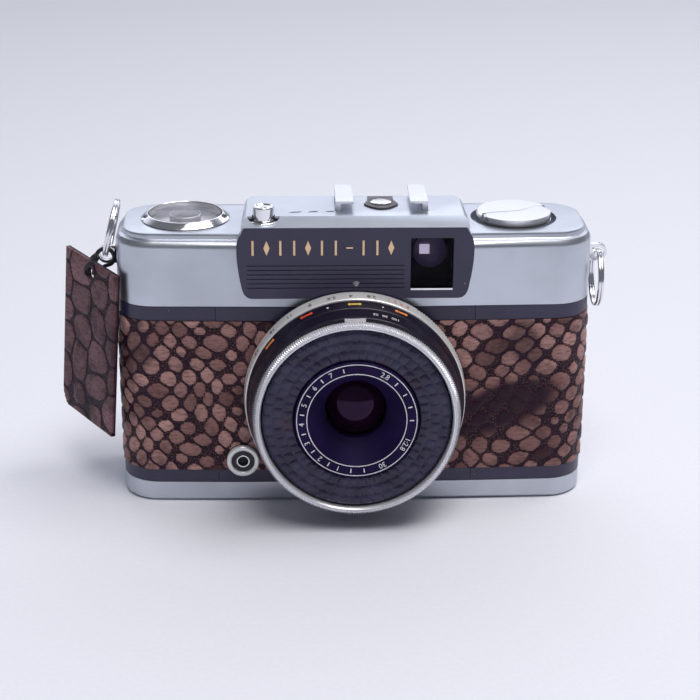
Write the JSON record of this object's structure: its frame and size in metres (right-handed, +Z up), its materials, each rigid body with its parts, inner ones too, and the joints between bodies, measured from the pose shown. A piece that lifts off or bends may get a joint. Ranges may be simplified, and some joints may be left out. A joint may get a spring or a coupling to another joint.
{
  "type": "half frame camera",
  "caption": "Compact metal half frame film camera with a ring meter round its lens, hinged back, hot shoe, thumbwheel advance and a leather tag on one lug.",
  "frame": {"origin": "on the underside of the bottom plate, straight below the lens axis and half way through the depth of the body", "axes": "+X to the right seen from the front (towards the rewind knob), +Y towards the back door, +Z up; the lens looks along -Y"},
  "size_m": [0.1319, 0.0463, 0.0732],
  "materials": {
    "satin_metal": "satin",
    "chrome": "polished",
    "black_paint": "semi-gloss",
    "matte_black": "matt black anodised",
    "snakeskin": "glossy scales",
    "black_plastic": "matt",
    "steel": "ground",
    "glass": "coated",
    "clear_plastic": "clear, glossy",
    "foam": "matt",
    "cord": "waxed"
  },
  "bodies": {
    "camera_body": {"body_casting": "black_paint", "front_plate": "black_paint", "bottom_plate": "satin_metal", "tripod_bush": "steel", "top_cover": "satin_metal", "leather_left": "snakeskin", "leather_right": "snakeskin", "front_panel": "black_paint", "index_pin": "chrome", "finder_tube": "black_plastic", "finder_window": "glass", "finder_lens": "glass", "eyepiece_frame": "black_paint", "eyepiece_lens": "glass", "hot_shoe": "chrome", "shoe_insulator": "black_plastic", "shoe_contact": "chrome", "button_collar": "chrome", "counter_ring": "chrome", "counter_window": "clear_plastic", "hinge_pin": "steel", "flash_socket_ring": "satin_metal", "flash_socket_insulator": "black_plastic", "flash_socket_sleeve": "chrome", "lens_mount": "matte_black", "speed_collar": "matte_black", "selenium_cell": "black_plastic", "cell_window": "clear_plastic", "name_ring": "matte_black", "front_lens": "glass", "rear_lens": "glass", "shutter_case": "matte_black", "strap_lug_left": "satin_metal", "strap_lug_right": "satin_metal"},
    "back_door": {"back_door": "black_paint", "leather_back": "snakeskin", "pressure_spring": "steel", "light_seal": "foam"},
    "pressure_plate": {"pressure_plate": "matte_black"},
    "door_latch": {"door_latch": "satin_metal"},
    "shutter_button": {"shutter_button": "chrome"},
    "rewind_lift": {"rewind_bush": "steel"},
    "rewind_knob": {"rewind_knob": "satin_metal", "rewind_shaft": "steel", "crank_pin": "steel"},
    "rewind_crank": {"rewind_crank": "satin_metal"},
    "advance_wheel": {"advance_wheel": "satin_metal"},
    "take_up_spool": {"take_up_spool": "black_plastic"},
    "film_sprocket": {"film_sprocket": "matte_black"},
    "counter_dial": {"counter_dial": "satin_metal"},
    "rewind_release": {"rewind_release": "chrome"},
    "aperture_ring": {"aperture_ring": "satin_metal"},
    "focus_ring": {"focus_ring": "matte_black"},
    "speed_bezel": {"speed_bezel": "chrome"},
    "split_ring_left": {"split_ring_left": "chrome"},
    "split_ring_right": {"split_ring_right": "chrome"},
    "leather_tag": {"leather_tag": "snakeskin", "tag_cord": "cord"}
  },
  "joints": [
    {"name": "back_door_hinge", "type": "hinge", "parent": "camera_body", "child": "back_door", "pos_m": [-0.0524, 0.0126, 0.0274], "axis": [0, 0, 1], "range_deg": [0, 110]},
    {"name": "pressure_plate_float", "type": "slide", "parent": "back_door", "child": "pressure_plate", "axis": [0, 1, 0], "range_m": [0, 0.0003], "stiffness_N_per_m": 150},
    {"name": "door_latch_slide", "type": "slide", "parent": "camera_body", "child": "door_latch", "axis": [0, 0, 1], "range_m": [0, 0.003]},
    {"name": "shutter_button_press", "type": "slide", "parent": "camera_body", "child": "shutter_button", "axis": [0, 0, -1], "range_m": [0, 0.0012], "stiffness_N_per_m": 400},
    {"name": "rewind_pull", "type": "slide", "parent": "camera_body", "child": "rewind_lift", "axis": [0, 0, 1], "range_m": [0, 0.0054]},
    {"name": "rewind_spin", "type": "hinge", "parent": "rewind_lift", "child": "rewind_knob", "pos_m": [0.0377, 0.0006, 0.066], "axis": [0, 0, 1], "continuous": true},
    {"name": "crank_fold", "type": "hinge", "parent": "rewind_knob", "child": "rewind_crank", "pos_m": [0.0308, -0.00315, 0.0675], "axis": [0, -1, 0], "range_deg": [0, 90]},
    {"name": "advance_spin", "type": "hinge", "parent": "camera_body", "child": "advance_wheel", "pos_m": [-0.0394, 0.003, 0.0525], "axis": [0, 0, 1], "continuous": true},
    {"name": "sprocket_spin", "type": "hinge", "parent": "camera_body", "child": "film_sprocket", "pos_m": [-0.0208, 0.0036, 0.027], "axis": [0, 0, 1], "continuous": true},
    {"name": "spool_spin", "type": "hinge", "parent": "camera_body", "child": "take_up_spool", "pos_m": [-0.0394, -0.0006, 0.027], "axis": [0, 0, 1], "continuous": true},
    {"name": "counter_spin", "type": "hinge", "parent": "camera_body", "child": "counter_dial", "pos_m": [-0.0394, 0.0009, 0.066], "axis": [0, 0, 1], "continuous": true},
    {"name": "rewind_release_press", "type": "slide", "parent": "camera_body", "child": "rewind_release", "axis": [0, 0, 1], "range_m": [0, 0.0008], "stiffness_N_per_m": 200},
    {"name": "aperture_turn", "type": "hinge", "parent": "camera_body", "child": "aperture_ring", "pos_m": [0, -0.018, 0.0282], "axis": [0, -1, 0], "range_deg": [-50, 60]},
    {"name": "focus_turn", "type": "hinge", "parent": "camera_body", "child": "focus_ring", "pos_m": [0, -0.022, 0.0282], "axis": [0, -1, 0], "range_deg": [-30, 45]},
    {"name": "film_speed_turn", "type": "hinge", "parent": "camera_body", "child": "speed_bezel", "pos_m": [0, -0.029, 0.0282], "axis": [0, -1, 0], "range_deg": [-60, 60]},
    {"name": "split_ring_left_swing", "type": "hinge", "parent": "camera_body", "child": "split_ring_left", "pos_m": [-0.0581, 0, 0.0582], "axis": [0, -1, 0], "range_deg": [0, 60]},
    {"name": "split_ring_right_swing", "type": "hinge", "parent": "camera_body", "child": "split_ring_right", "pos_m": [0.0581, 0, 0.0582], "axis": [0, -1, 0], "range_deg": [-4, 150]},
    {"name": "tag_swing", "type": "hinge", "parent": "camera_body", "child": "leather_tag", "pos_m": [-0.0581, 0, 0.0582], "axis": [0, 1, 0], "range_deg": [0, 45]}
  ],
  "couplings": [
    {"joint": "sprocket_spin", "follows": "advance_spin", "ratio": 1},
    {"joint": "spool_spin", "follows": "advance_spin", "ratio": 0.86},
    {"joint": "counter_spin", "follows": "advance_spin", "ratio": 0.025}
  ]
}
